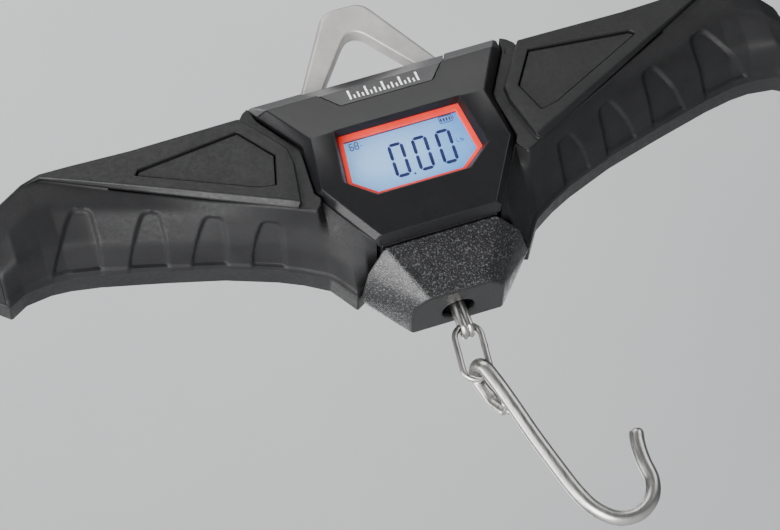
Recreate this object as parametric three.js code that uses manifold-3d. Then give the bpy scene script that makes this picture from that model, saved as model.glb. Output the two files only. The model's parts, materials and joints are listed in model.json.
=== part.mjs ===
// Digital fish scale: a two-handed hanging scale with a display in the middle, a rubber grip on
// each wing, a cast loop above and a swivelling link and hook below.
// Units are millimetres. X runs along the wings, -Y is the display side and +Z is up.
// Shapes are drawn in a working frame: Y = 0 is the flat display face and Z = 0 is the height
// of the display's side corners. The whole group is moved at the end, so that the origin is
// the inner apex of the hanging loop.

import * as THREE from 'three';
import { mergeVertices } from 'three/addons/utils/BufferGeometryUtils.js';
import { ConvexGeometry } from 'three/addons/geometries/ConvexGeometry.js';
import Module from 'manifold-3d';

const wasm = await Module();
wasm.setup();

// ---------------------------------------------------------------- driving dimensions

const GAP = 0.3;                // clearance between neighbouring pieces
const WALL = 2.4;               // wall of the housing
const PARTING_Y = 22;           // joint plane between the front and the rear shell
const BACK_Y = 34.5;            // outer face of the back
const BACK_BEVEL = 4;           // chamfer round the back
const TOP_Z = 41;               // top of the middle of the housing
const GRIP_THICK = 2.6;         // rubber over the shell
const TIP_X = 130.5;            // end of each wing
const CAVITY_X = [39, 124];     // the hollow inside each wing
const CAP_X = 127.2;            // the shells end here and the grip's end cap begins
const AXIS_Y = 22.2;            // depth of the hook's load line
const LOOP_APEX_Z = 61.3;       // inner apex of the hanging loop

// Face plate, from the bottom up: height, half-width and depth of the front face, half-width
// and depth where its slanted side ends.
const PLATE = [
  { z: -21.2, front: [17.6, 3.9], side: [18.8, 4.3] },
  { z: -19.9, front: [18.0, 0], side: [19.8, 2.6] },
  { z: 0.4, front: [29.7, 0], side: [31.5, 2.6] },
  { z: 17.8, front: [27.6, 0], side: [30.1, 3.3] },
  { z: 34.2, front: [36.2, 4.7], side: [39.2, 7.6] },
  { z: 40.9, front: [39.4, 12.4], side: [40.6, 13.6] },
];
const PLATE_THICK = 4.7;
const PLATE_BACK_Y = 17.5;      // the plate's top ends here, before the hanging loop
const FACE_PROFILE = [[0, -60], [0, 17.8], [4.7, 34.2], [12.4, 40.9], [21, 48.4]];

// Display: half outlines from the top corner to the side corner and the bottom corner.
const OPENING_FRONT = [[20.0, 18.3], [22.9, 0.4], [14.6, -6.7]];
const OPENING_BACK = [[18.9, 17.2], [20.9, 1.2], [13.7, -4.6]];
const BEZEL_OUTER = [[20.6, 18.9], [22.8, 1.0], [15.0, -6.3]];
const BEZEL_INNER = [[17.9, 15.8], [19.7, 1.4], [13.3, -3.9]];
const DECK_STEP = 0.9;          // the shell's opening behind the frame is this much wider
const BEZEL_Y = 3.4;            // front of the coloured frame
const BEZEL_THICK = 1.3;
const DECK_Y = 5.0;             // front of the shell behind the face plate
const DECK_BACK_Y = 7.6;
const WINDOW_THICK = 1.2;
const LCD_BOX = { x: 24, z: [-7.6, 18.8], y: [7.9, 9.7] };
const BACKLIGHT_BOX = { x: 24, z: [-7.6, 20], y: [10.0, 11.4] };
const BOARD_BOX = { x: 26, z: [-12, 24], y: [12.6, 14.2] };

// Name plate, a blank badge in a shallow recess above the display.
const BADGE = [[14.6, 27.8], [21, 36], [23.2, 41.4]];
const BADGE_SINK = 0.5;
const BADGE_THICK = 1.0;

// One wing, from the middle to the tip, as sections [y, z] of its front half: top front edge,
// lower edge of the raised panel, lower edge of its bevel, finger line, round of the grip, and
// the height of the lip at the parting plane.
const WING = [
  { x: 33, top: [6.2, 34.8], panel: [-1.4, -4.5], bevel: [0.1, -6.6],
    finger: [7.4, -9.0], round: [14, -13.6], lip: -17.8 },
  { x: 40, top: [6.4, 35.0], panel: [-1.3, -0.7], bevel: [0.2, -3.1],
    finger: [6.6, -5.2], round: [13.5, -9.8], lip: -13.4 },
  { x: 47, top: [6.8, 35.2], panel: [-0.4, 3.0], bevel: [1.2, 0.8],
    finger: [6.2, -2.0], round: [13, -6.6], lip: -10.0 },
  { x: 62, top: [7.0, 35.1], panel: [1.7, 11.1], bevel: [3.3, 9.1],
    finger: [5.8, 4.6], round: [13, -1.2], lip: -4.3 },
  { x: 79, top: [7.4, 35.2], panel: [4.1, 20.3], bevel: [5.8, 18.8],
    finger: [6.6, 12.6], round: [12.5, 4.6], lip: 0.4 },
  { x: 98, top: [8.0, 36.2], panel: [6.8, 30.5], bevel: [8.6, 29.7],
    finger: [7.8, 20.8], round: [12.4, 10.6], lip: 5.2 },
  { x: 107, top: [8.5, 36.6], panel: [8.2, 35.3], bevel: [9.6, 34.6],
    finger: [7.8, 24.5], round: [11.8, 12.2], lip: 6.8 },
  { x: 113, top: [10.6, 35.9], panel: [9.9, 35.2], bevel: [9.6, 34.3],
    finger: [7.2, 24.0], round: [10.6, 12.0], lip: 7.2 },
  { x: 121, top: [12.5, 32.2], panel: [11.4, 31.3], bevel: [10.6, 30.2],
    finger: [6.4, 20.0], round: [8.6, 9.4], lip: 6.2 },
  { x: 126.5, top: [15.0, 26.4], panel: [13.8, 25.5], bevel: [12.8, 24.4],
    finger: [9.4, 16.6], round: [10.4, 7.6], lip: 3.0 },
  { x: 130.5, top: [18.5, 17.5], panel: [17.7, 16.8], bevel: [16.9, 16.0],
    finger: [15.2, 12.6], round: [15.6, 8.8], lip: 6.5 },
];
const TOP_RISE = 1.2;           // the wing's top is this much higher at the parting plane

// The grips reach inwards past the wings and end beside the chin.
const GRIP_ROOT = [
  { x: 19.6, bevel: [3.0, -20.4], finger: [8, -20.7], round: [14, -21.2], lip: -21.9 },
  { x: 23.0, bevel: [3.0, -14.6], finger: [7.4, -18.6], round: [13, -22.4], lip: -23.9 },
  { x: 27.2, bevel: [3.0, -7.3], finger: [7.6, -13.2], round: [14, -20.0], lip: -26.3 },
  { x: 30.6, bevel: [2.4, -1.7], finger: [7.4, -9.6], round: [14, -16.4], lip: -20.6 },
  { x: 31.8, bevel: [1.3, -4.4], finger: [7.4, -9.3], round: [14, -15.0], lip: -19.2 },
];

// Panel recess on each wing: the plane of the panel leans back and outwards.
const PANEL_LEAN = { z: 0.217, x: 0.023, y0: -2.1 };
const INSERT = [[46.8, 30.1], [39.0, 17.6], [42.0, 6.6], [47.0, 7.6], [79.6, 25.4], [78.6, 26.8]];
const INSERT_SINK = 1.0;
const INSERT_THICK = 1.2;
const COLLAR_SINK = 2.5;        // the collar beside the face plate lies this far below the panel
const COLLAR_FROM = { x: 30.7, z: -7 };   // it lies outside this x and above this z
const BEYOND = 60;              // past the middle of the object on every side, for cutting tools
const BEYOND_TIPS = 140;        // past the grip tips
const SCREW_SIDES = 16;         // facets round a screw hole
const ROUND_SIDES = 24;         // facets round a larger bore or disc
const SLIDE_GAP = 0.1;          // extra room round the plate's foot
const LEG_SLOT = { x: [16.4, 25.6], half: 3.3, z: [28, 46] };
const BAR_POCKET = { x: 25, half: 3.3, z: [17, 38.5] };
const CHIN_PASSAGE = { x: 11, y: [11, 30], z: [-30, -12] };
const LCD_CONNECTOR = { x: 18, y: [10.0, 12.3], z: [20.5, 22.6] };
const CONTACT = { gap: 0.3, thick: 0.4, y: [22, 30], z: [11, 29.4] };
const SWITCH = { half: 3, thick: 1.4 };
const BUZZER = { r: 4.5, y: [14.5, 19], x: -17, z: 2 };
const GAUGE_WEB = { x: 20, half: 0.8, z: [-3, 8], eye: 3.6 };

// Inner ends of the raised panels, as a half outline, and the shell's outline in the middle.
const CHANNEL = [[46.5, 46], [45.2, 35.6], [34.5, 18.6], [34.3, 13], [37.0, -2.6], [38.6, -4.2],
  [36.5, -9], [17, -24]];
const CORE = [[38.5, 41], [42.6, 38.4], [44.4, 36.2], [44.4, -11.4], [33, -17.6], [27.3, -26.6],
  [17.6, -21.1]];

// Chin: front facet, side facets and a flat bottom with the hook's hole.
const CHIN_BOTTOM_Z = -39.5;
const CHIN_HOLE_R = 5;
const CHIN_FRONT = [[17.6, 4.6, -21.6], [9.3, 10.5, CHIN_BOTTOM_Z]];
const CHIN_SIDE = [[24.1, 10.6, -25.4], [14.0, 15.0, CHIN_BOTTOM_Z]];
const CHIN_REAR = [[26.8, 22, -27.1], [24.6, 29.9, -25.8], [17.6, 31.6, -21.6],
  [14.2, 29.8, CHIN_BOTTOM_Z]];
const SKIRT_THICK = 1.2;        // rim of both shells that reaches down inside the chin
const SKIRT_Z = [-25, -18];

// Hanging loop and its base bar and stem.
const LOOP_THICK = 6;
const LOOP_OUTER = { low: [24.4, 41], high: [6.6, 71.4], round: 4.2 };
const LOOP_INNER = { low: [17.6, 41], high: [2.2, LOOP_APEX_Z], round: 3.4 };
const LOOP_BAR = { x: 24.4, z: [30.4, 38.2] };
const LOOP_STEM = { x: 6, z: 18.2 };
const LOOP_SCREW_Z = [22.0, 27.2];

// Load cell, its bracket and the swivel.
const CELL = { x: 6, y: [17, 26.8], z: [-14, 17.8], tongueY: [14.8, 18.7], tongueZ: 30 };
const BRACKET_SCREW_Z = -11.2;
const BRACKET = { x: 7, sheet: 1.1, y: [14.5, 28.1], z: [-32.8, -3], plate: 1.6 };
const HEAD = { r: 4.6, z: [-30.3, -26.3] };
const WASHER = { r: 4.7, hole: 3.9, z: [-31.0, -30.5] };

// Eye of doubled wire, chain link and hook.
const BAIL = { wire: 2.1, half: 2.4, pitch: 1.9, bottom: -48.5, top: -27.0, turn: 0 };
const LINK = { wire: 1.9, half: 4.05, top: -45.3, bottom: -63.5, lean: -6 };
const HOOK_WIRE = 4.5;
const HOOK_EYE = { x: -0.5, z: -63.4, radius: 3.9, turn: 16, lean: 15.5 };
const HOOK_BEND = [[9.7, -98], [12.4, -107.4], [15.4, -113.7], [20.3, -118.3], [26.3, -119.1],
  [31.6, -116.1], [34.2, -110.6], [34.0, -104], [34.4, -98.4], [35.6, -93.6]];

// Batteries lie in the right wing behind a hinged door in the back.
const CELL_R = 5.1;
const CELL_LENGTH = 44.5;
const CELL_X = 47.4;
const CELL_Y = 27.2;
const CELL_Z = [15.8, 26.2];
const CRADLE = { x: [44.2, 94.6], y: [21.0, 30.4], z: [9.5, 32.5], wall: 1.0 };
const DOOR = { x: [45, 94], z: [10.6, 31.8], thick: 1.9 };

// Buttons in the back.
const BUTTON_X = [-18, 0, 18];
const BUTTON_Z = 22;
const BUTTON = { x: 5.5, z: 3.6, proud: 0.9, lip: 1.1, flangeY: [31.0, 31.8] };
const BUTTON_BOARD = { x: 27, y: [27.2, 28.6], z: [16.5, 27.5] };

// Screws that hold the two shells together, driven from the back.
const SCREW_PLACES = [[36.5, 30], [111, 21], [30, -10]];
const SCREW = { head: 2.8, headY: [29.2, 31.3], shank: 1.4, end: 14.5 };

// ---------------------------------------------------------------- shape helpers

function solid(geometry) {
  const bare = geometry.clone();
  bare.deleteAttribute('normal');
  bare.deleteAttribute('uv');
  const merged = mergeVertices(bare, 1e-4);
  return new wasm.Manifold(new wasm.Mesh({
    numProp: 3,
    vertProperties: new Float32Array(merged.attributes.position.array),
    triVerts: new Uint32Array(merged.index.array),
  }));
}

function geometryOf(body) {
  const mesh = body.getMesh();
  const geometry = new THREE.BufferGeometry();
  geometry.setAttribute('position', new THREE.BufferAttribute(new Float32Array(mesh.vertProperties), 3));
  geometry.setIndex(new THREE.BufferAttribute(new Uint32Array(mesh.triVerts), 1));
  geometry.computeVertexNormals();
  return geometry;
}

// Closed mesh from rings of points with the same count, capped at both ends.
function loft(rings, flatten) {
  const count = rings[0].length;
  const positions = rings.flat().flatMap((p) => [p.x, p.y, p.z]);
  const faces = [];
  for (let ring = 0; ring + 1 < rings.length; ring += 1) {
    for (let i = 0; i < count; i += 1) {
      const a = ring * count + i;
      const b = ring * count + (i + 1) % count;
      faces.push([a, b, b + count], [a, b + count, a + count]);
    }
  }
  const last = (rings.length - 1) * count;
  const firstCap = THREE.ShapeUtils.triangulateShape(rings[0].map(flatten), []);
  const lastCap = THREE.ShapeUtils.triangulateShape(rings.at(-1).map(flatten), []);
  const turn = Math.sign(signedArea(rings[0].map(flatten))) || 1;
  for (const t of firstCap) {
    faces.push(turnedTo(t, rings[0].map(flatten), -turn));
  }
  for (const t of lastCap) {
    faces.push(turnedTo(t, rings.at(-1).map(flatten), turn).map((i) => i + last));
  }
  const geometry = new THREE.BufferGeometry();
  geometry.setAttribute('position', new THREE.Float32BufferAttribute(positions, 3));
  geometry.setIndex(faces.flat());
  return outward(geometry);
}

function signedArea(points) {
  return THREE.ShapeUtils.area(points);
}

function turnedTo(triangle, points, sign) {
  const area = THREE.ShapeUtils.area(triangle.map((i) => points[i]));
  return area * sign > 0 ? triangle : [triangle[0], triangle[2], triangle[1]];
}

function volume(geometry) {
  const p = geometry.attributes.position;
  const index = geometry.index.array;
  const corner = [0, 1, 2].map(() => new THREE.Vector3());
  let total = 0;
  for (let i = 0; i < index.length; i += 3) {
    corner.forEach((v, k) => v.fromBufferAttribute(p, index[i + k]));
    total += corner[0].dot(corner[1].cross(corner[2])) / 6;
  }
  return total;
}

function flipped(geometry) {
  const index = geometry.index.array;
  for (let i = 0; i < index.length; i += 3) {
    [index[i + 1], index[i + 2]] = [index[i + 2], index[i + 1]];
  }
  return geometry;
}

function outward(geometry) {
  return volume(geometry) < 0 ? flipped(geometry) : geometry;
}

// The left-hand twin of a right-hand solid.
function mirrored(body) {
  const geometry = geometryOf(body);
  geometry.scale(-1, 1, 1);
  return solid(flipped(geometry));
}

function both(body) {
  return body.add(mirrored(body));
}

// Right half outline to a whole symmetric outline.
function wholeOutline(half) {
  const left = half.map(([x, z]) => [-x, z]).reverse();
  return [...half, ...left];
}

function shapeOf(points) {
  return new THREE.Shape(points.map(([a, b]) => new THREE.Vector2(a, b)));
}

// Prism of an XZ outline between two depths, with an optional chamfer at both ends.
function prismY(outline, y0, y1, chamfer = 0) {
  const shape = outline instanceof THREE.Shape ? outline : shapeOf(outline);
  const geometry = new THREE.ExtrudeGeometry(shape, {
    depth: y1 - y0 - 2 * chamfer,
    bevelEnabled: chamfer > 0,
    bevelThickness: chamfer,
    bevelSize: chamfer,
    bevelOffset: -chamfer,
    bevelSegments: 1,
    curveSegments: 6,
  });
  geometry.rotateX(Math.PI / 2);
  geometry.translate(0, y1 - chamfer, 0);
  return solid(geometry);
}

// Solid through XZ outlines with the same number of points at increasing depths.
function trayY(layers) {
  const rings = layers.map(([y, outline]) => outline.map(([x, z]) => new THREE.Vector3(x, y, z)));
  return solid(loft(rings, (p) => new THREE.Vector2(p.x, p.z)));
}

// Prism of a YZ outline between two values of X.
function prismX(outline, x0, x1) {
  const geometry = new THREE.ExtrudeGeometry(shapeOf(outline), { depth: x1 - x0, bevelEnabled: false });
  const basis = new THREE.Matrix4().makeBasis(
    new THREE.Vector3(0, 1, 0), new THREE.Vector3(0, 0, 1), new THREE.Vector3(1, 0, 0));
  geometry.applyMatrix4(basis);
  geometry.translate(x0, 0, 0);
  return solid(geometry);
}

function box(x0, x1, y0, y1, z0, z1) {
  const geometry = new THREE.BoxGeometry(x1 - x0, y1 - y0, z1 - z0);
  geometry.translate((x0 + x1) / 2, (y0 + y1) / 2, (z0 + z1) / 2);
  return solid(geometry);
}

function cylinder(axis, radius, from, to, u, v, sides = 20) {
  const geometry = new THREE.CylinderGeometry(radius, radius, to - from, sides);
  const middle = (from + to) / 2;
  if (axis === 'y') {
    geometry.translate(u, middle, v);
  } else if (axis === 'z') {
    geometry.rotateX(Math.PI / 2);
    geometry.translate(u, v, middle);
  } else {
    geometry.rotateZ(Math.PI / 2);
    geometry.translate(middle, u, v);
  }
  return solid(geometry);
}

function hull(points) {
  const geometry = new ConvexGeometry(points.map((p) => new THREE.Vector3(...p)));
  return solid(geometry);
}

function bothSides(points) {
  return points.flatMap(([x, y, z]) => [[x, y, z], [-x, y, z]]);
}

// Round wire along a smooth path through the given points.
function wire(points, diameter, steps, sides = 10) {
  const path = new THREE.CatmullRomCurve3(points, false, 'centripetal');
  const section = new THREE.Shape();
  section.absarc(0, 0, diameter / 2, 0, Math.PI * 2, false);
  const geometry = new THREE.ExtrudeGeometry(section, {
    steps,
    curveSegments: sides / 2,
    extrudePath: path,
  });
  return solid(geometry);
}

// Polyline moved sideways by a distance, to its right-hand side.
function offsetChain(points, distance) {
  const lines = [];
  for (let i = 0; i + 1 < points.length; i += 1) {
    const a = new THREE.Vector2(...points[i]);
    const b = new THREE.Vector2(...points[i + 1]);
    const along = b.clone().sub(a).normalize();
    const shift = new THREE.Vector2(along.y, -along.x).multiplyScalar(distance);
    lines.push({ start: a.add(shift), end: b.add(shift), along });
  }
  const moved = [lines[0].start];
  for (let i = 0; i + 1 < lines.length; i += 1) {
    moved.push(meet(lines[i], lines[i + 1]));
  }
  moved.push(lines.at(-1).end);
  return moved.map((p) => [p.x, p.y]);
}

function meet(first, second) {
  const cross = first.along.x * second.along.y - first.along.y * second.along.x;
  const between = second.start.clone().sub(first.start);
  const distance = (between.x * second.along.y - between.y * second.along.x) / cross;
  return first.start.clone().addScaledVector(first.along, distance);
}

// Closed outline with its edges moved outwards by a distance.
function grow(outline, distance) {
  const closed = [...outline, outline[0], outline[1]];
  const turn = Math.sign(signedArea(outline.map((p) => new THREE.Vector2(...p))));
  const corners = offsetChain(closed, turn * distance).slice(1, -1);
  return [corners.at(-1), ...corners.slice(0, -1)];
}

// ---------------------------------------------------------------- scene

const group = new THREE.Group();

const COLOURS = {
  shell: { color: 0x18191b, roughness: 0.55, metalness: 0 },
  face: { color: 0x101113, roughness: 0.3, metalness: 0 },
  rubber: { color: 0x131416, roughness: 0.8, metalness: 0 },
  badge: { color: 0x2a2b2e, roughness: 0.35, metalness: 0.3 },
  red: { color: 0xd01812, roughness: 0.4, metalness: 0 },
  clear: { color: 0xb8d4ee, roughness: 0.05, metalness: 0 },
  screen: { color: 0x86b4e8, roughness: 0.3, metalness: 0 },
  white: { color: 0xe8ecf0, roughness: 0.5, metalness: 0 },
  board: { color: 0x1c5a34, roughness: 0.5, metalness: 0 },
  part: { color: 0x1a1a1c, roughness: 0.45, metalness: 0 },
  cast: { color: 0xb9b8b4, roughness: 0.5, metalness: 0.6 },
  alloy: { color: 0xaeb2b6, roughness: 0.4, metalness: 0.9 },
  steel: { color: 0xc2c4c6, roughness: 0.28, metalness: 1 },
  brass: { color: 0xb8934a, roughness: 0.35, metalness: 1 },
  cell: { color: 0x3a4a5c, roughness: 0.35, metalness: 0.4 },
};

function node(name, body, look) {
  const mesh = new THREE.Mesh(geometryOf(body), new THREE.MeshStandardMaterial(COLOURS[look]));
  mesh.name = name;
  group.add(mesh);
}

// ---------------------------------------------------------------- face plate and display

const frontOf = (offset) => [
  [-40, -60],
  ...offsetChain(FACE_PROFILE, offset),
  [-40, 60],
];

// Everything in front of the surface that lies a given depth behind the face.
const inFrontOf = (depth) => prismX(frontOf(depth), -BEYOND, BEYOND);

function facePlate() {
  const rings = PLATE.map(({ z, front, side }) => [
    new THREE.Vector3(-front[0], front[1], z),
    new THREE.Vector3(front[0], front[1], z),
    new THREE.Vector3(side[0], side[1], z),
    new THREE.Vector3(side[0], side[1] + 12, z),
    new THREE.Vector3(-side[0], side[1] + 12, z),
    new THREE.Vector3(-side[0], side[1], z),
  ]);
  const block = solid(loft(rings, (p) => new THREE.Vector2(p.x, p.y)));
  const opening = hull([
    ...bothSides(OPENING_FRONT.map(([x, z]) => [x + 0.2, -0.6, z])),
    ...bothSides(OPENING_BACK.map(([x, z]) => [x, BEZEL_Y, z])),
  ]);
  const rebate = prismY(grow(wholeOutline(BEZEL_OUTER), GAP), BEZEL_Y - GAP, 9);
  const recess = prismY(grow(wholeOutline(BADGE), GAP), -2, 20)
    .intersect(inFrontOf(BADGE_SINK + BADGE_THICK + GAP));
  return block.intersect(inFrontOf(PLATE_THICK))
    .intersect(box(-BEYOND, BEYOND, -BEYOND, PLATE_BACK_Y, -BEYOND, BEYOND))
    .subtract(opening).subtract(rebate).subtract(recess);
}

function namePlate() {
  const slab = inFrontOf(BADGE_SINK + BADGE_THICK).subtract(inFrontOf(BADGE_SINK));
  const below = box(-BEYOND, BEYOND, -BEYOND, BEYOND, -BEYOND, TOP_Z);
  return prismY(wholeOutline(BADGE), -2, 20).intersect(slab).intersect(below);
}

function displayBezel() {
  const ring = prismY(wholeOutline(BEZEL_OUTER), BEZEL_Y, BEZEL_Y + BEZEL_THICK);
  return ring.subtract(prismY(wholeOutline(BEZEL_INNER), BEZEL_Y - 1, BEZEL_Y + BEZEL_THICK + 1));
}

const windowOutline = wholeOutline([[19.8, 18.1], [21.9, 1.2], [14.4, -5.5]]);

node('face_plate', facePlate(), 'face');
node('name_plate', namePlate(), 'badge');
node('display_bezel', displayBezel(), 'red');
node('display_window', prismY(windowOutline, DECK_Y + 0.1, DECK_Y + 0.1 + WINDOW_THICK), 'clear');

function slabPart({ x, y, z }) {
  return box(-x, x, y[0], y[1], z[0], z[1]);
}

node('lcd_panel', slabPart(LCD_BOX), 'screen');
node('backlight_panel', slabPart(BACKLIGHT_BOX), 'white');
node('circuit_board', slabPart(BOARD_BOX), 'board');
node('lcd_connector', box(-LCD_CONNECTOR.x, LCD_CONNECTOR.x, ...LCD_CONNECTOR.y, ...LCD_CONNECTOR.z), 'rubber');

// ---------------------------------------------------------------- housing

function wingOuter(section) {
  return [
    [PARTING_Y, section.top[1] + TOP_RISE],
    section.top, section.panel, section.bevel, section.finger, section.round,
    [PARTING_Y, section.lip],
  ];
}

function ringAt(x, points) {
  return points.map(([y, z]) => new THREE.Vector3(x, y, z));
}

const flatYZ = (p) => new THREE.Vector2(p.y, p.z);

function loftX(stations) {
  return solid(loft(stations.map(({ x, points }) => ringAt(x, points)), flatYZ));
}

// The grip's section: its outer skin and the same skin moved inwards by the given thickness.
function gripSkin(section, thickness) {
  const outer = [section.bevel, section.finger, section.round, [PARTING_Y, section.lip]];
  const inner = [
    [section.bevel[0] + thickness, section.bevel[1] + 0.25 * thickness],
    [section.finger[0] + 0.95 * thickness, section.finger[1] + 0.45 * thickness],
    [section.round[0] + 0.6 * thickness, section.round[1] + 0.85 * thickness],
    [PARTING_Y, section.lip + thickness],
  ];
  return { outer, inner };
}

const gripSections = [...GRIP_ROOT, ...WING];

function gripStrip(thickness) {
  return loftX(gripSections.map((section) => {
    const { outer, inner } = gripSkin(section, thickness);
    return { x: section.x, points: [...outer, ...inner.reverse()] };
  }));
}

// Everything outside the grip's inner skin, used to cut the shell clear of the rubber.
function gripClearance(thickness) {
  const first = { ...gripSections[0], x: gripSections[0].x - 1.5 };
  const last = { ...gripSections.at(-1), x: TIP_X + 2 };
  return loftX([first, ...gripSections, last].map((section) => {
    const { inner } = gripSkin(section, thickness);
    inner[0][1] += GAP;
    const edge = [section.bevel[0] - 0.6, section.bevel[1] + 0.15];
    const far = [[edge[0] - 25, edge[1] - 25], [PARTING_Y + 5, section.lip - 40]];
    const corner = [PARTING_Y + 5, section.lip + thickness];
    return { x: section.x, points: [edge, ...far, corner, ...inner.reverse()] };
  }));
}

function wingCavity() {
  return loftX(WING.slice(1, -1).map((section) => {
    const { top, panel, finger, round, lip } = section;
    const x = Math.min(section.x, CAVITY_X[1]) - (section.x === 40 ? section.x - CAVITY_X[0] : 0);
    return {
      x,
      points: [
        [PARTING_Y + 1, top[1] - 1.4],
        [top[0] + 4, top[1] - 2.4],
        [panel[0] + 4.8, Math.min(panel[1] + 4, top[1] - 6)],
        [finger[0] + 5.6, finger[1] + 1.6],
        [round[0] + 4.6, round[1] + 5],
        [PARTING_Y + 1, lip + 5.4],
      ],
    };
  }));
}

const core = prismY(wholeOutline(CORE), -4, PARTING_Y);
const wings = both(loftX(WING.map((section) => ({ x: section.x, points: wingOuter(section) }))));
const plateSides = wholeOutline(PLATE.map(({ z, side }) => [side[0], z]).reverse());
const platePocket = prismY(grow(plateSides, GAP + SLIDE_GAP), -BEYOND, BEYOND)
  .intersect(inFrontOf(PLATE_THICK + GAP));
const ends = both(box(CAP_X, BEYOND_TIPS, -BEYOND, BEYOND, -BEYOND, BEYOND));

function insertPrism(outline, sink, depth) {
  const point = (x, z, y) => [x, PANEL_LEAN.z * z + PANEL_LEAN.x * x + PANEL_LEAN.y0 + y, z];
  const near = outline.map(([x, z]) => point(x, z, sink));
  const far = outline.map(([x, z]) => point(x, z, depth));
  return solid(loft([near, far].map((ring) => ring.map((p) => new THREE.Vector3(...p))),
    (p) => new THREE.Vector2(p.x, p.z)));
}

// Everything in front of the collar, and the corner of the core that the collar is cut from.
const halfSpace = [[0, BEYOND], [BEYOND, BEYOND], [BEYOND, -BEYOND], [0, -BEYOND]];
const aboveCollar = both(insertPrism(halfSpace, -BEYOND, COLLAR_SINK));
const collarCorner = both(box(COLLAR_FROM.x, BEYOND, -BEYOND, BEYOND, COLLAR_FROM.z, BEYOND));
const channel = prismY(wholeOutline(CHANNEL), -20, PARTING_Y + 4).intersect(aboveCollar);
const middleFront = core.subtract(inFrontOf(PLATE_THICK + GAP))
  .add(core.subtract(aboveCollar).subtract(platePocket).intersect(collarCorner));

const insert = insertPrism(INSERT, INSERT_SINK, INSERT_SINK + INSERT_THICK);
const insertPocket = insertPrism(grow(INSERT, GAP), -4, INSERT_SINK + INSERT_THICK + GAP);

const keepWall = both(gripClearance(GRIP_THICK + GAP + WALL));
const coreCavity = prismY(wholeOutline([[40, 33], [41.6, 28], [41.6, -6], [31, -11.5], [23.5, -17.5],
  [16, -17.5]]), DECK_BACK_Y, PARTING_Y + 1)
  .intersect(prismX([[DECK_BACK_Y, -40], [DECK_BACK_Y, 18.5], [13.6, 34.4], [17.5, 38.4],
    [40, 38.4], [40, -40]], -60, 60))
  .subtract(keepWall);
const chinPassage = box(-CHIN_PASSAGE.x, CHIN_PASSAGE.x, ...CHIN_PASSAGE.y, ...CHIN_PASSAGE.z);

// The chin as a convex block, with its faces moved inwards by a distance.
function chinBlock(inset) {
  const top = inset > 0 ? 6 : 0;
  const moved = ([x, y, z]) => [
    x - inset * 1.1,
    y + (y < PARTING_Y ? inset * 1.2 : -inset * 0.85),
    z > CHIN_BOTTOM_Z ? z + top : z + inset,
  ];
  return hull(bothSides([...CHIN_FRONT, ...CHIN_SIDE, ...CHIN_REAR].map(moved)));
}

function skirt(y0, y1) {
  return chinBlock(WALL + GAP).subtract(chinBlock(WALL + GAP + SKIRT_THICK))
    .intersect(box(-30, 30, y0, y1, ...SKIRT_Z));
}

const topSlots = both(box(...LEG_SLOT.x, PARTING_Y - LEG_SLOT.half, PARTING_Y + LEG_SLOT.half, ...LEG_SLOT.z));
const barPocket = box(-BAR_POCKET.x, BAR_POCKET.x, PARTING_Y - BAR_POCKET.half,
  PARTING_Y + BAR_POCKET.half, ...BAR_POCKET.z);

function screwBoss(y0, y1, radius) {
  return both(SCREW_PLACES.map(([x, z]) => cylinder('y', radius, y0, y1, x, z, SCREW_SIDES))
    .reduce((sum, body) => sum.add(body)));
}

function frontShell() {
  const skin = middleFront.add(wings.subtract(channel).subtract(platePocket))
    .add(skirt(0, PARTING_Y));
  const outer = skin.subtract(both(gripClearance(GRIP_THICK + GAP))).subtract(ends);
  const hollow = outer
    .subtract(both(wingCavity()))
    .subtract(coreCavity);
  const bosses = screwBoss(10, PARTING_Y, 3.4).intersect(outer);
  return hollow.add(bosses)
    .subtract(screwBoss(SCREW.end - 1, PARTING_Y + 1, SCREW.shank + GAP))
    .subtract(prismY(grow(windowOutline, GAP), 0, DECK_Y + WINDOW_THICK + 0.4))
    .subtract(prismY(grow(wholeOutline(BEZEL_INNER), DECK_STEP), 0, 12))
    .subtract(both(insertPocket))
    .subtract(topSlots)
    .subtract(barPocket)
    .subtract(chinPassage);
}

const rearHalf = [
  [38.5, TOP_Z], [42.6, 38.4], [47, 36.5],
  ...WING.slice(3).map((section) => [section.x, section.top[1] + TOP_RISE]),
  ...WING.slice().reverse().map((section) => [section.x, section.lip]),
  [27.3, -26.6], [17.6, -21.1],
];

function rearShell() {
  const outline = wholeOutline(rearHalf);
  const block = trayY([[PARTING_Y + GAP, outline], [BACK_Y - BACK_BEVEL, outline],
    [BACK_Y, grow(outline, -BACK_BEVEL)]]);
  const pocket = trayY([[PARTING_Y - 2, grow(outline, -WALL)],
    [BACK_Y - BACK_BEVEL - 1, grow(outline, -WALL)], [BACK_Y - WALL, grow(outline, -BACK_BEVEL)]]);
  const bosses = screwBoss(PARTING_Y + GAP, BACK_Y - 1, 4.2).intersect(block);
  const buttons = BUTTON_X.map((x) => box(x - BUTTON.x - GAP, x + BUTTON.x + GAP, 28, 40,
    BUTTON_Z - BUTTON.z - GAP, BUTTON_Z + BUTTON.z + GAP)).reduce((sum, body) => sum.add(body));
  const doorSeat = box(DOOR.x[0] - GAP, DOOR.x[1] + GAP, BACK_Y - DOOR.thick - GAP, 40,
    DOOR.z[0] - GAP, DOOR.z[1] + GAP);
  const bay = box(DOOR.x[0] + 1.5, DOOR.x[1] - 1.5, 28, 40, DOOR.z[0] + 1.2, DOOR.z[1] - 1.2);
  return block.subtract(pocket)
    .add(skirt(PARTING_Y + GAP, 40).subtract(keepWall))
    .add(bosses)
    .subtract(screwBoss(20, 40, SCREW.shank + GAP))
    .subtract(screwBoss(SCREW.headY[0] - GAP, 40, SCREW.head + GAP))
    .subtract(buttons)
    .subtract(doorSeat)
    .subtract(bay)
    .subtract(topSlots)
    .subtract(barPocket)
    .subtract(chinPassage);
}

const plateClearance = prismY(grow(plateSides, GAP + SLIDE_GAP), -BEYOND, PLATE_THICK + GAP);

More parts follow.
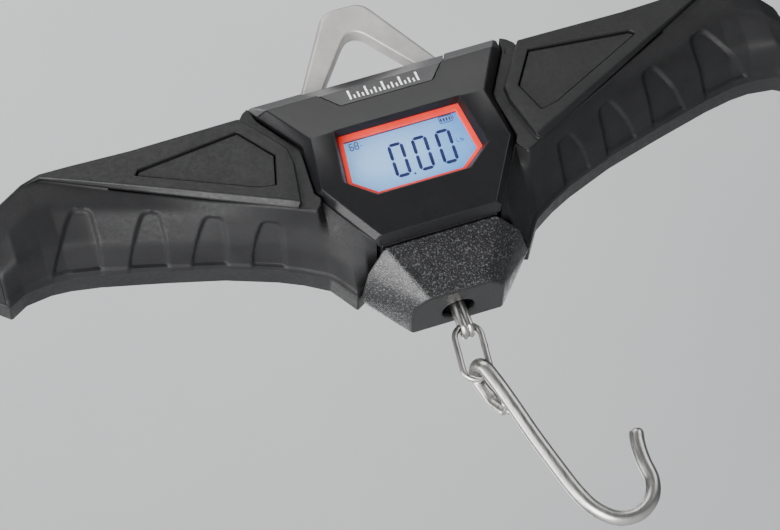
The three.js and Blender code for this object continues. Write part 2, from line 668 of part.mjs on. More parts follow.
function grip() {
  const strip = gripStrip(GRIP_THICK);
  const last = WING.slice(-2).map((section) => ({ x: section.x, points: wingOuter(section) }));
  const cap = loftX(last).intersect(box(CAP_X + GAP, BEYOND_TIPS, -BEYOND, PARTING_Y, -BEYOND, BEYOND));
  return strip.add(cap).subtract(plateClearance);
}

const rightGrip = grip();
node('front_shell', frontShell(), 'shell');
node('rear_shell', rearShell(), 'shell');
node('wing_panel_right', insert, 'shell');
node('wing_panel_left', mirrored(insert), 'shell');
node('grip_right', rightGrip, 'rubber');
node('grip_left', mirrored(rightGrip), 'rubber');

// ---------------------------------------------------------------- chin

function chin() {
  return chinBlock(0).subtract(chinBlock(WALL))
    .subtract(cylinder('z', CHIN_HOLE_R, -50, -30, 0, AXIS_Y, 28));
}

node('chin_cap', chin(), 'shell');

// ---------------------------------------------------------------- hanging loop and load cell

function roundedTrapezoid({ low, high, round }) {
  const shape = new THREE.Shape();
  const side = new THREE.Vector2(high[0] - low[0], high[1] - low[1]).normalize().multiplyScalar(round);
  const flat = Math.min(round, high[0]);
  shape.moveTo(low[0], low[1]);
  shape.lineTo(high[0] - side.x, high[1] - side.y);
  shape.quadraticCurveTo(high[0], high[1], high[0] - flat, high[1]);
  shape.lineTo(-high[0] + flat, high[1]);
  shape.quadraticCurveTo(-high[0], high[1], -high[0] + side.x, high[1] - side.y);
  shape.lineTo(-low[0], low[1]);
  shape.closePath();
  return shape;
}

function hangingLoop() {
  const y0 = PARTING_Y - LOOP_THICK / 2;
  const y1 = PARTING_Y + LOOP_THICK / 2;
  const outer = prismY(roundedTrapezoid(LOOP_OUTER), y0, y1, 0.9);
  const inner = prismY(roundedTrapezoid(LOOP_INNER), y0 - 1, y1 + 1);
  const legs = both(box(17.0, LOOP_BAR.x, y0, y1, LOOP_BAR.z[0], LOOP_OUTER.low[1] + 0.9));
  const bar = box(-LOOP_BAR.x, LOOP_BAR.x, y0, y1, LOOP_BAR.z[0], LOOP_BAR.z[1]);
  const stem = box(-LOOP_STEM.x, LOOP_STEM.x, y0, y1, LOOP_STEM.z, LOOP_BAR.z[1]);
  const holes = LOOP_SCREW_Z.map((z) => cylinder('y', SCREW.shank + GAP, 0, BEYOND, 0, z, SCREW_SIDES));
  return outer.subtract(inner).add(legs).add(bar).add(stem).subtract(holes[0]).subtract(holes[1]);
}

function loadCell() {
  const body = box(-CELL.x, CELL.x, CELL.y[0], CELL.y[1], CELL.z[0], CELL.z[1]);
  const tongue = box(-CELL.x, CELL.x, CELL.tongueY[0], CELL.tongueY[1], CELL.z[1] - 5, CELL.tongueZ);
  const { x, half, z: levels } = GAUGE_WEB;
  const web = box(-x, x, AXIS_Y - half, AXIS_Y + half, ...levels);
  const eyes = levels.map((z) => cylinder('x', GAUGE_WEB.eye, -x, x, AXIS_Y, z));
  const tapped = LOOP_SCREW_Z.map((z) => cylinder('y', SCREW.shank + GAP, 0, BEYOND, 0, z, SCREW_SIDES));
  const lower = cylinder('y', SCREW.shank + GAP, 18, BEYOND, 0, BRACKET_SCREW_Z, SCREW_SIDES);
  return body.add(tongue).subtract(web).subtract(eyes[0]).subtract(eyes[1])
    .subtract(tapped[0]).subtract(tapped[1]).subtract(lower);
}

function screwAlongY(x, z, headY, end, headR, shankR) {
  const profile = [[0, headY[1]], [headR, headY[1]], [headR, headY[0]], [shankR, headY[0]],
    [shankR, end + 1], [0, end]];
  const geometry = new THREE.LatheGeometry(profile.map(([r, y]) => new THREE.Vector2(r, y)).reverse(), 14);
  geometry.translate(x, 0, z);
  const body = solid(outward(mergeVertices(bareOf(geometry), 1e-4)));
  const slot = box(x - headR * 0.7, x + headR * 0.7, headY[1] - 1, headY[1] + 1, z - 0.4, z + 0.4)
    .add(box(x - 0.4, x + 0.4, headY[1] - 1, headY[1] + 1, z - headR * 0.7, z + headR * 0.7));
  return body.subtract(slot);
}

function bareOf(geometry) {
  const bare = geometry.clone();
  bare.deleteAttribute('normal');
  bare.deleteAttribute('uv');
  return bare;
}

function bracket() {
  const { x, sheet, y, z, plate } = BRACKET;
  const back = box(-x, x, y[1] - sheet, y[1], z[0], z[1]);
  const floor = box(-x, x, y[0], y[1], z[0], z[0] + plate);
  const hole = cylinder('z', 3.9, z[0] - 1, z[0] + plate + 1, 0, AXIS_Y, ROUND_SIDES);
  const screwHole = cylinder('y', SCREW.shank + GAP, 20, BEYOND, 0, BRACKET_SCREW_Z, SCREW_SIDES);
  return back.add(floor).subtract(hole).subtract(screwHole);
}

node('hanging_loop', hangingLoop(), 'cast');
node('load_cell', loadCell(), 'alloy');
LOOP_SCREW_Z.forEach((z, i) => {
  node(`loop_screw_${i + 1}`, screwAlongY(0, z, [25.3, 26.9], 15.5, 2.6, SCREW.shank), 'steel');
});
node('load_bracket', bracket(), 'steel');
node('bracket_screw', screwAlongY(0, BRACKET_SCREW_Z, [28.5, 30.1], 19.5, 2.6, SCREW.shank), 'steel');

// ---------------------------------------------------------------- swivel, eye, link and hook

const turned = (degrees) => {
  const angle = THREE.MathUtils.degToRad(degrees);
  return new THREE.Vector2(Math.sin(angle), Math.cos(angle));
};

const bailDirection = turned(BAIL.turn);

// Point of the eye: along its opening, at a height, on the strand at the given side.
function bailPoint(along, z, side = 0) {
  const across = side * BAIL.pitch / 2;
  return new THREE.Vector3(bailDirection.x * along + bailDirection.y * across,
    AXIS_Y + bailDirection.y * along - bailDirection.x * across, z);
}

function bailStrand(side) {
  const centre = BAIL.bottom + BAIL.half;
  const middle = (BAIL.top + centre) / 2;
  const points = [bailPoint(-BAIL.half, BAIL.top, side), bailPoint(-BAIL.half, middle, side)];
  for (let i = 0; i <= 6; i += 1) {
    const angle = Math.PI * i / 6;
    points.push(bailPoint(-BAIL.half * Math.cos(angle), centre - BAIL.half * Math.sin(angle), side));
  }
  points.push(bailPoint(BAIL.half, middle, side), bailPoint(BAIL.half, BAIL.top, side));
  return wire(points, BAIL.wire, 30, 10);
}

function eyeBail() {
  return bailStrand(-1).add(bailStrand(1));
}

function swivelHead() {
  const head = cylinder('z', HEAD.r, HEAD.z[0], HEAD.z[1], 0, AXIS_Y, ROUND_SIDES);
  const ends = [-1, 1].flatMap((along) => [-1, 1].map((side) => [along, side]));
  return ends.reduce((body, [along, side]) => {
    const place = bailPoint(along * BAIL.half, 0, side);
    return body.subtract(cylinder('z', BAIL.wire / 2 + GAP, HEAD.z[0] - 1, BAIL.top + GAP,
      place.x, place.y, 12));
  }, head);
}

function thrustWasher() {
  const disc = cylinder('z', WASHER.r, WASHER.z[0], WASHER.z[1], 0, AXIS_Y, ROUND_SIDES);
  return disc.subtract(cylinder('z', WASHER.hole, WASHER.z[0] - 1, WASHER.z[1] + 1, 0, AXIS_Y, ROUND_SIDES));
}

function chainLink() {
  const topCentre = LINK.top - LINK.half;
  const bottomCentre = LINK.bottom + LINK.half;
  const arc = (centre, from) => {
    const points = [];
    for (let i = 0; i <= 8; i += 1) {
      const angle = from + Math.PI * i / 8;
      const height = centre + LINK.half * Math.sin(angle);
      points.push(new THREE.Vector3(LINK.half * Math.cos(angle), AXIS_Y, height));
    }
    return points;
  };
  const points = [...arc(topCentre, 0), ...arc(bottomCentre, Math.PI)];
  const rings = points.map((p, i) => {
    const before = points[(i + points.length - 1) % points.length];
    const after = points[(i + 1) % points.length];
    const outwards = new THREE.Vector3(after.z - before.z, 0, before.x - after.x).normalize();
    return Array.from({ length: 8 }, (_, k) => {
      const angle = Math.PI * 2 * k / 8;
      return p.clone().addScaledVector(outwards, LINK.wire / 2 * Math.cos(angle))
        .add(new THREE.Vector3(0, LINK.wire / 2 * Math.sin(angle), 0));
    });
  });
  const geometry = closedRing(rings);
  geometry.translate(0, 0, -LINK.top);
  geometry.rotateY(THREE.MathUtils.degToRad(-LINK.lean));
  geometry.translate(0, 0, LINK.top);
  return solid(geometry);
}

// Ring of sections joined end to end.
function closedRing(rings) {
  const count = rings[0].length;
  const total = rings.length * count;
  const faces = [];
  for (let ring = 0; ring < rings.length; ring += 1) {
    for (let i = 0; i < count; i += 1) {
      const a = ring * count + i;
      const b = ring * count + (i + 1) % count;
      faces.push(a, b, (b + count) % total, a, (b + count) % total, (a + count) % total);
    }
  }
  const geometry = new THREE.BufferGeometry();
  geometry.setAttribute('position',
    new THREE.Float32BufferAttribute(rings.flat().flatMap((p) => [p.x, p.y, p.z]), 3));
  geometry.setIndex(faces);
  return outward(geometry);
}

// The hook's eye goes over the link from the shank in front to a short tail behind.
function hook() {
  const lean = THREE.MathUtils.degToRad(HOOK_EYE.lean);
  const down = new THREE.Vector3(Math.sin(lean), 0, -Math.cos(lean));
  const side = new THREE.Vector3(Math.cos(lean), 0, Math.sin(lean));
  const turn = THREE.MathUtils.degToRad(HOOK_EYE.turn);
  const back = new THREE.Vector3(0, Math.cos(turn), 0).addScaledVector(side, -Math.sin(turn));
  const centre = new THREE.Vector3(HOOK_EYE.x, AXIS_Y, HOOK_EYE.z);
  const at = (across, along) => centre.clone().addScaledVector(back, across).addScaledVector(down, along);
  const r = HOOK_EYE.radius;
  const points = [at(r - 3.0, 12.6), at(r - 1.6, 9.2), at(r - 0.2, 5.5)];
  for (let i = 0; i <= 6; i += 1) {
    const angle = Math.PI * i / 6;
    points.push(at(r * Math.cos(angle), -r * Math.sin(angle)));
  }
  points.push(at(-r, 6), at(-r + 0.6, 14), at(-r + 1.6, 24));
  HOOK_BEND.forEach(([x, z]) => points.push(new THREE.Vector3(x, AXIS_Y - 1.6, z)));
  const [x, z] = HOOK_BEND.at(-1);
  const ball = new THREE.SphereGeometry(HOOK_WIRE / 2, 10, 8);
  ball.rotateX(Math.PI / 2);
  ball.translate(x, AXIS_Y - 1.6, z);
  return wire(points, HOOK_WIRE, 84, 12).add(solid(ball));
}

node('swivel_head', swivelHead(), 'steel');
node('thrust_washer', thrustWasher(), 'brass');
node('eye_bail', eyeBail(), 'steel');
node('chain_link', chainLink(), 'steel');
node('hook', hook(), 'steel');

// ---------------------------------------------------------------- batteries

function battery(z) {
  const can = cylinder('x', CELL_R, CELL_X, CELL_X + CELL_LENGTH - 1, CELL_Y, z, ROUND_SIDES);
  return can.add(cylinder('x', 1.8, CELL_X + CELL_LENGTH - 2, CELL_X + CELL_LENGTH, CELL_Y, z, SCREW_SIDES));
}

function cradle() {
  const { x, y, z, wall } = CRADLE;
  return box(x[0], x[1], y[0], y[1], z[0], z[1])
    .subtract(box(x[0] + wall, x[1] - wall, y[0] + wall, y[1] + 5, z[0] + wall, z[1] - wall))
    .subtract(prismX([[15, 5], [24, 5], [24, 10.4], [17, 16.2]], x[0] - 1, x[1] + 1));
}

function contactSpring(z) {
  const turns = 3;
  const steps = 30;
  const points = Array.from({ length: steps + 1 }, (_, i) => {
    const angle = Math.PI * 2 * turns * i / steps;
    const radius = 2.8 - 1.2 * i / steps;
    return new THREE.Vector3(CELL_X - 1.9 + 1.3 * i / steps, CELL_Y + radius * Math.cos(angle),
      z + radius * Math.sin(angle));
  });
  return wire(points, 0.35, 60, 6);
}

node('battery_cradle', cradle(), 'part');
CELL_Z.forEach((z, i) => {
  node(`battery_${i + 1}`, battery(z), 'cell');
  node(`contact_spring_${i + 1}`, contactSpring(z), 'steel');
});
const contactX = CELL_X + CELL_LENGTH + CONTACT.gap;
node('contact_plate', box(contactX, contactX + CONTACT.thick, ...CONTACT.y, ...CONTACT.z), 'brass');

function batteryDoor() {
  const [x0, x1] = DOOR.x;
  const [z0, z1] = DOOR.z;
  const panel = box(x0, x1, BACK_Y - DOOR.thick, BACK_Y, z0, z1);
  const thumb = box((x0 + x1) / 2 - 5, (x0 + x1) / 2 + 5, BACK_Y - 0.7, BACK_Y + 1, z0 + 1.8, z0 + 3.4);
  return panel.subtract(thumb);
}

node('battery_door', batteryDoor(), 'shell');

// ---------------------------------------------------------------- buttons and small parts

function button(x) {
  const key = box(x - BUTTON.x, x + BUTTON.x, BUTTON.flangeY[0], BACK_Y + BUTTON.proud,
    BUTTON_Z - BUTTON.z, BUTTON_Z + BUTTON.z);
  const flange = box(x - BUTTON.x - BUTTON.lip, x + BUTTON.x + BUTTON.lip, BUTTON.flangeY[0],
    BUTTON.flangeY[1], BUTTON_Z - BUTTON.z - BUTTON.lip, BUTTON_Z + BUTTON.z + BUTTON.lip);
  const plunger = cylinder('y', 1.1, BUTTON.flangeY[0] - 0.1, BUTTON.flangeY[1], x, BUTTON_Z, 12);
  return key.add(flange).add(plunger);
}

node('button_board', slabPart(BUTTON_BOARD), 'board');
['units', 'power', 'store'].forEach((name, i) => {
  const x = BUTTON_X[i];
  node(`button_${name}`, button(x), 'rubber');
  const switchY = BUTTON_BOARD.y[1] + 0.1;
  node(`switch_${name}`, box(x - SWITCH.half, x + SWITCH.half, switchY, switchY + SWITCH.thick,
    BUTTON_Z - 3, BUTTON_Z + 3), 'part');
});
node('buzzer', cylinder('y', BUZZER.r, ...BUZZER.y, BUZZER.x, BUZZER.z, ROUND_SIDES), 'part');

let screwNumber = 1;
for (const side of [-1, 1]) {
  for (const [x, z] of SCREW_PLACES) {
    node(`housing_screw_${screwNumber}`,
      screwAlongY(side * x, z, SCREW.headY, SCREW.end, SCREW.head, SCREW.shank), 'steel');
    screwNumber += 1;
  }
}

group.position.set(0, -PARTING_Y, -LOOP_APEX_Z);

export default group;
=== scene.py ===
"""Looks of a two-handed digital fish scale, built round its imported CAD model.

Shapes are written in millimetres in the CAD's working frame (Y = 0 is the flat display face,
Z = 0 the height of the display's side corners, X runs along the wings) and at() turns them
into metres in the row frame.
"""

import json
import math

import bmesh
import bpy
from mathutils import Matrix, Vector


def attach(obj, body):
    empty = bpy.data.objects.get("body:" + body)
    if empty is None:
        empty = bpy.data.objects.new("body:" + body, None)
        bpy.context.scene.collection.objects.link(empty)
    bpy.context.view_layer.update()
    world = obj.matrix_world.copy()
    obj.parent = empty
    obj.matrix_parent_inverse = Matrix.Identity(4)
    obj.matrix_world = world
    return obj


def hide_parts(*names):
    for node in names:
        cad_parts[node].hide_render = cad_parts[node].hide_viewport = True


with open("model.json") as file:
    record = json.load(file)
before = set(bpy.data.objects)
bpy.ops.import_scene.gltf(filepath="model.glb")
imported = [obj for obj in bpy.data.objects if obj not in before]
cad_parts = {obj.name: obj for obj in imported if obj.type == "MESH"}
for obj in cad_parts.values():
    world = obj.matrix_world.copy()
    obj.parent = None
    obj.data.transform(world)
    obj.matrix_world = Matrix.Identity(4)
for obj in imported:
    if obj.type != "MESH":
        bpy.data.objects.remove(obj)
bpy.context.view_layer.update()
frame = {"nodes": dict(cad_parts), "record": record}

MM = 0.001
PARTING_Y = 22.0            # joint plane between the shells
LOOP_APEX_Z = 61.3          # the row frame's origin is the inner apex of the loop
AXIS_Y = 22.2               # depth of the load line

record = frame["record"]
slot_of = {row["node"]: row["material_slot"] for row in record["subparts"]}
body_of = {n: body for body, members in record["behaviour"]["bodies"].items() for n in members}


def at(x, y, z):
    return Vector((x, y - PARTING_Y, z - LOOP_APEX_Z)) * MM


# ---------------------------------------------------------------- materials


class Look:
    """A material whose nodes read object coordinates in metres."""

    def __init__(self, name, **sockets):
        self.material = bpy.data.materials.new(name)
        self.material.use_nodes = True
        self.tree = self.material.node_tree
        self.shader = self.tree.nodes["Principled BSDF"]
        self.coords = self.node("ShaderNodeTexCoord").outputs["Object"]
        for key, value in sockets.items():
            self.shader.inputs[key.replace("_", " ")].default_value = value

    def node(self, kind, **values):
        made = self.tree.nodes.new(kind)
        for key, value in values.items():
            setattr(made, key, value)
        return made

    def wire(self, out, into):
        self.tree.links.new(out, into)

    def stretched(self, factors):
        mapping = self.node("ShaderNodeMapping")
        mapping.inputs["Scale"].default_value = factors
        self.wire(self.coords, mapping.inputs["Vector"])
        return mapping.outputs["Vector"]

    def noise(self, size, detail=3.0, coords=None):
        """Noise with features about size millimetres wide."""
        made = self.node("ShaderNodeTexNoise")
        made.inputs["Scale"].default_value = 1.0 / (size * MM)
        made.inputs["Detail"].default_value = detail
        self.wire(coords or self.coords, made.inputs["Vector"])
        return made.outputs["Fac"]

    def cells(self, size):
        made = self.node("ShaderNodeTexVoronoi")
        made.inputs["Scale"].default_value = 1.0 / (size * MM)
        self.wire(self.coords, made.inputs["Vector"])
        return made.outputs["Distance"]

    def ramp(self, value, stops):
        made = self.node("ShaderNodeValToRGB")
        elements = made.color_ramp.elements
        while len(elements) < len(stops):
            elements.new(0.5)
        for element, (place, colour) in zip(elements, stops):
            element.position = place
            element.color = (*colour, 1.0)
        self.wire(value, made.inputs["Fac"])
        return made.outputs["Color"]

    def spread(self, value, low, high, start=0.3, end=0.7):
        made = self.node("ShaderNodeMapRange")
        for key, number in (("From Min", start), ("From Max", end), ("To Min", low), ("To Max", high)):
            made.inputs[key].default_value = number
        self.wire(value, made.inputs["Value"])
        return made.outputs["Result"]

    def mix(self, factor, first, second):
        made = self.node("ShaderNodeMix", data_type="RGBA")
        for socket, source in ((made.inputs["Factor"], factor), (made.inputs["A"], first),
                               (made.inputs["B"], second)):
            if isinstance(source, bpy.types.NodeSocket):
                self.wire(source, socket)
        return made.outputs["Result"]

    def bump(self, height, strength, distance, below=None):
        made = self.node("ShaderNodeBump")
        made.inputs["Strength"].default_value = strength
        made.inputs["Distance"].default_value = distance * MM
        self.wire(height, made.inputs["Height"])
        if below is not None:
            self.wire(below, made.inputs["Normal"])
        self.wire(made.outputs["Normal"], self.shader.inputs["Normal"])
        return made.outputs["Normal"]

    def colour(self, source):
        self.wire(source, self.shader.inputs["Base Color"])

    def rough(self, source):
        self.wire(source, self.shader.inputs["Roughness"])


def tinted(colour, factor):
    return tuple(min(1.0, c * factor) for c in colour)


def plastic(name, colour, rough, grain, depth, glint_specks=0.0, tone=0.25, sparse=0.56, **sockets):
    """Moulded plastic or rubber: blotchy tone, a fine grain and uneven gloss; its optional pale specks
    are painted glints, light catching the grain painted into the colour.
    """
    look = Look(name, **sockets)
    blotch = look.noise(9.0, 4.0)
    fine = look.noise(grain, 2.0)
    base = [(0.3, tinted(colour, 1 - tone)), (0.7, tinted(colour, 1 + tone))]
    if glint_specks:
        base_colour = look.ramp(blotch, base)
        # Painted glints: sparse pale specks in the base colour stand in for light catching the grain.
        glint_spots = look.spread(look.noise(grain * 1.3, 1.0), 0.0, 1.0, sparse, sparse + 0.16)
        pale = look.ramp(glint_spots, [(0.0, colour), (1.0, tinted(colour, 1 + glint_specks))])
        look.colour(look.mix(glint_spots, base_colour, pale))
    else:
        look.colour(look.ramp(blotch, base))
    look.rough(look.spread(look.noise(grain * 4, 3.0), rough[0], rough[1]))
    look.bump(fine, 0.9, depth)
    return look.material


def metal(name, colour, rough, brush, depth, **sockets):
    """Metal with fine brushing lines along the given stretch and faint stains."""
    look = Look(name, Metallic=1.0, **sockets)
    lines = look.noise(0.5, 2.0, look.stretched(brush))
    stains = look.noise(6.0, 4.0)
    look.colour(look.ramp(stains, [(0.3, tinted(colour, 0.82)), (0.7, tinted(colour, 1.08))]))
    look.rough(look.spread(lines, rough[0], rough[1]))
    look.bump(lines, 0.5, depth)
    return look.material


def screen_look():
    """Backlit display: pale blue with a brighter middle left and a darker, bluer rim."""
    look = Look("display_glow", Roughness=0.3)
    place = look.node("ShaderNodeMapping", vector_type="TEXTURE")
    place.inputs["Location"].default_value = at(-7.0, 8.0, 8.5)
    place.inputs["Scale"].default_value = (0.030, 0.5, 0.019)
    look.wire(look.coords, place.inputs["Vector"])
    ball = look.node("ShaderNodeTexGradient", gradient_type="SPHERICAL")
    look.wire(place.outputs["Vector"], ball.inputs["Vector"])
    cloud = look.noise(12.0, 2.0)
    height = look.node("ShaderNodeMath", operation="MULTIPLY_ADD")
    look.wire(cloud, height.inputs[0])
    height.inputs[1].default_value = 0.25
    look.wire(ball.outputs["Fac"], height.inputs[2])
    glow = look.ramp(height.outputs["Value"], [
        (0.05, (0.10, 0.34, 0.84)), (0.35, (0.17, 0.45, 0.92)), (0.9, (0.34, 0.62, 1.0))])
    look.colour(glow)
    look.wire(glow, look.shader.inputs["Emission Color"])
    look.shader.inputs["Emission Strength"].default_value = 0.85
    return look.material


def segment_look():
    look = Look("display_segment", Roughness=0.4)
    look.colour(look.ramp(look.noise(1.5), [(0.3, (0.030, 0.045, 0.17)), (0.7, (0.045, 0.062, 0.22))]))
    return look.material


def bezel_look_painted_glow():
    look = Look("bezel_red_painted_glow", Roughness=0.35)
    red = look.ramp(look.noise(5.0), [(0.3, (0.80, 0.030, 0.020)), (0.7, (0.92, 0.055, 0.035))])
    look.colour(red)
    # Painted glow: the red also feeds a faint emission that makes the bezel look brightly lit, though
    # the bezel is no lamp.
    look.wire(red, look.shader.inputs["Emission Color"])
    look.shader.inputs["Emission Strength"].default_value = 0.22
    look.rough(look.spread(look.noise(0.6), 0.3, 0.45))
    look.bump(look.noise(0.3), 0.3, 0.01)
    return look.material


def window_look():
    look = Look("window_clear", Transmission_Weight=1.0, IOR=1.45)
    look.colour(look.ramp(look.noise(8.0), [(0.3, (0.95, 0.97, 1.0)), (0.7, (1.0, 1.0, 1.0))]))
    look.rough(look.spread(look.noise(3.0), 0.0, 0.03))
    return look.material


def cast_look():
    """Blasted cast alloy: pale, matt, with a fine sandy grain and a few shallow pits."""
    look = Look("cast_alloy", Metallic=0.55)
    blotch = look.noise(7.0, 5.0)
    look.colour(look.ramp(blotch, [(0.3, (0.44, 0.43, 0.415)), (0.7, (0.56, 0.545, 0.53))]))
    look.rough(look.spread(look.noise(1.2), 0.42, 0.58))
    sand = look.bump(look.noise(0.3, 2.0), 0.6, 0.05)
    look.bump(look.noise(2.2, 2.0), 0.35, 0.12, sand)
    return look.material


def board_look():
    look = Look("board_green")
    pads = look.spread(look.cells(2.2), 1.0, 0.0, 0.10, 0.16)
    green = look.ramp(look.noise(6.0), [(0.3, (0.01, 0.10, 0.04)), (0.7, (0.02, 0.16, 0.06))])
    tin = look.ramp(look.noise(1.0), [(0.0, (0.5, 0.5, 0.48)), (1.0, (0.7, 0.7, 0.68))])
    look.colour(look.mix(pads, green, tin))
    look.rough(look.spread(look.noise(3.0), 0.3, 0.45))
    look.bump(look.noise(0.8), 0.2, 0.02)
    return look.material


SATIN = (0.0075, 0.0075, 0.0082)
MOULDED = (0.0095, 0.0095, 0.010)
LOOKS = {
    # The shell's faint pale specks are painted glints.
    "shell": plastic("shell_black", MOULDED, (0.44, 0.58), 0.34, 0.055, glint_specks=0.8,
                     Specular_IOR_Level=0.34),
    "face": plastic("face_satin", SATIN, (0.30, 0.37), 0.20, 0.006, tone=0.1,
                    Specular_IOR_Level=0.34),
    # The rubber's faint pale specks are painted glints.
    "rubber": plastic("grip_rubber", (0.0095, 0.0095, 0.0102), (0.50, 0.64), 0.26, 0.035, glint_specks=0.4,
                      Specular_IOR_Level=0.26),
    "badge": plastic("badge_dark", (0.022, 0.022, 0.024), (0.28, 0.36), 0.25, 0.006, tone=0.15),
    "bezel": bezel_look_painted_glow(),
    "window": window_look(),
    "screen": screen_look(),
    "diffuser": plastic("light_guide", (0.80, 0.83, 0.86), (0.4, 0.5), 0.8, 0.02, tone=0.04),
    "board": board_look(),
    "electronic": plastic("moulding_dark", (0.02, 0.02, 0.022), (0.35, 0.5), 0.3, 0.01),
    "cast": cast_look(),
    "alloy": metal("milled_alloy", (0.72, 0.73, 0.74), (0.28, 0.42), (1, 1, 0.06), 0.02),
    "steel": metal("stainless", (0.46, 0.45, 0.435), (0.27, 0.40), (1, 1, 0.10), 0.012),
    "brass": metal("brass_plain", (0.68, 0.48, 0.20), (0.25, 0.4), (1, 0.1, 1), 0.01),
    "cell": plastic("cell_wrap", (0.03, 0.06, 0.10), (0.25, 0.35), 0.5, 0.005),
    "button": plastic("button_rubber", (0.03, 0.03, 0.032), (0.5, 0.62), 0.3, 0.02),
}
# The chin's spark texture: a grain bump, and dense pale specks painted into the colour as glints of
# light on that grain.
SPARK_GRAIN_AND_GLINTS = plastic("chin_spark_grain_and_glints", MOULDED, (0.30, 0.48), 0.42, 0.15, glint_specks=6.0,
                  sparse=0.50)
SATIN_SHELL = plastic("shell_satin", SATIN, (0.36, 0.46), 0.20, 0.008, tone=0.1)
SEGMENT = segment_look()
SILVER = metal("silver_mark", (0.80, 0.80, 0.79), (0.22, 0.34), (1, 1, 0.3), 0.01)

for node_name, slot_name in slot_of.items():
    materials = frame["nodes"][node_name].data.materials
    materials.clear()
    materials.append(LOOKS[slot_name])


# ---------------------------------------------------------------- mesh helpers


def place(bm, name, node, look=None, sharp=38.0, replace=True):
    """Makes the piece from bm in the scene, in place of a CAD node or beside it."""
    bmesh.ops.recalc_face_normals(bm, faces=bm.faces)
    mesh = bpy.data.meshes.new(name)
    bm.to_mesh(mesh)
    bm.free()
    piece = bpy.data.objects.new(name, mesh)
    bpy.context.scene.collection.objects.link(piece)
    mesh.materials.append(look or LOOKS[slot_of[node]])
    mesh.shade_smooth()
    mesh.set_sharp_from_angle(angle=math.radians(sharp))
    weighted = piece.modifiers.new("even_normals", "WEIGHTED_NORMAL")
    weighted.keep_sharp = True
    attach(piece, body_of[node])
    if replace:
        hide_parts(node)
    return piece


def edges_sharper(bm, degrees):
    least = math.radians(degrees)
    return [e for e in bm.edges if len(e.link_faces) == 2 and e.calc_face_angle(0.0) > least]


def round_edges(bm, width, segments, angle=24.0, merge=0.05, from_y=-100.0):
    """Joins the triangles of bm to flat faces and rounds the edges sharper than angle.

    Edges in front of from_y, a depth in the working frame, stay sharp.
    """
    nearest = at(0, from_y, 0).y
    bmesh.ops.remove_doubles(bm, verts=bm.verts, dist=merge * MM)
    bmesh.ops.dissolve_limit(bm, angle_limit=math.radians(1.2), verts=bm.verts, edges=bm.edges)
    bmesh.ops.connect_verts_concave(bm, faces=bm.faces)
    edges = [e for e in edges_sharper(bm, angle) if min(v.co.y for v in e.verts) > nearest]
    bmesh.ops.bevel(bm, geom=edges, offset=width * MM, offset_type="OFFSET",
                    segments=segments, profile=0.5, affect="EDGES", clamp_overlap=False)
    bmesh.ops.remove_doubles(bm, verts=bm.verts, dist=0.01 * MM)


def refined(node, width, segments=2, **options):
    """A CAD node's own shape with its triangles joined to flat faces and its edges rounded."""
    bm = bmesh.new()
    bm.from_mesh(frame["nodes"][node].data)
    round_edges(bm, width, segments, **options)
    return place(bm, f"{node}_fine", node)


def curve_through(points, step):
    """Evenly spaced points on a smooth curve through points."""
    padded = [points[0] * 2 - points[1], *points, points[-1] * 2 - points[-2]]
    dense = []
    for a, b, c, d in zip(padded, padded[1:], padded[2:], padded[3:]):
        for i in range(16):
            t = i / 16
            dense.append(0.5 * ((2 * b) + (c - a) * t + (2 * a - 5 * b + 4 * c - d) * t * t
                                + (3 * b - a - 3 * c + d) * t ** 3))
    dense.append(points[-1])
    spaced, left = [dense[0]], step
    for a, b in zip(dense, dense[1:]):
        gap = (b - a).length
        while gap >= left > 0:
            a = a + (b - a) * (left / gap)
            spaced.append(a)
            gap = (b - a).length
            left = step
        left -= gap
    if (spaced[-1] - dense[-1]).length > step * 0.3:
        spaced.append(dense[-1])
    else:
        spaced[-1] = dense[-1]
    return spaced


def ring_faces(bm, rings, closed):
    count = len(rings[0])
    pairs = list(zip(rings, rings[1:])) + ([(rings[-1], rings[0])] if closed else [])
    for a, b in pairs:
        for i in range(count):
            j = (i + 1) % count
            bm.faces.new((a[i], a[j], b[j], b[i]))


def sweep(bm, path, radius, sides=20, closed=False, squeeze=None, seam=None):
    """A wire along path; radius(t) gives its radius in mm and squeeze(t) its flattening."""
    total = len(path)
    tangents = []
    for i in range(total):
        before = path[(i - 1) % total] if closed or i else path[0]
        after = path[(i + 1) % total] if closed or i + 1 < total else path[-1]
        tangents.append((after - before).normalized())
    side = Vector((0, 1, 0))
    rings = []
    for i, (p, tangent) in enumerate(zip(path, tangents)):
        side = (side - tangent * side.dot(tangent)).normalized()
        other = tangent.cross(side)
        t = i / (total - 1)
        r = radius(t)
        flat = squeeze(t) if squeeze else 1.0
        ring = []
        for k in range(sides):
            angle = 2 * math.pi * k / sides
            offset = side * (r * flat * math.cos(angle)) + other * (r / flat ** 0.4 * math.sin(angle))
            ring.append(bm.verts.new((p + offset - Vector((0, PARTING_Y, LOOP_APEX_Z))) * MM))
        rings.append(ring)
    ring_faces(bm, rings, closed)
    if not closed:
        bm.faces.new(rings[0][::-1])
        bm.faces.new(rings[-1])
    return rings


def prism(bm, outline, depth):
    """Closed flat piece: outline is a list of points in mm and depth a vector to its back."""
    front = [bm.verts.new(at(*p)) for p in outline]
    back = [bm.verts.new(at(*(Vector(p) + depth))) for p in outline]
    bm.faces.new(front)
    bm.faces.new(back[::-1])
    count = len(front)
    for i in range(count):
        j = (i + 1) % count
        bm.faces.new((front[j], front[i], back[i], back[j]))


def smoothstep(x, low=0.0, high=1.0):
    t = min(1.0, max(0.0, (x - low) / (high - low)))
    return t * t * (3 - 2 * t)


# ---------------------------------------------------------------- housing

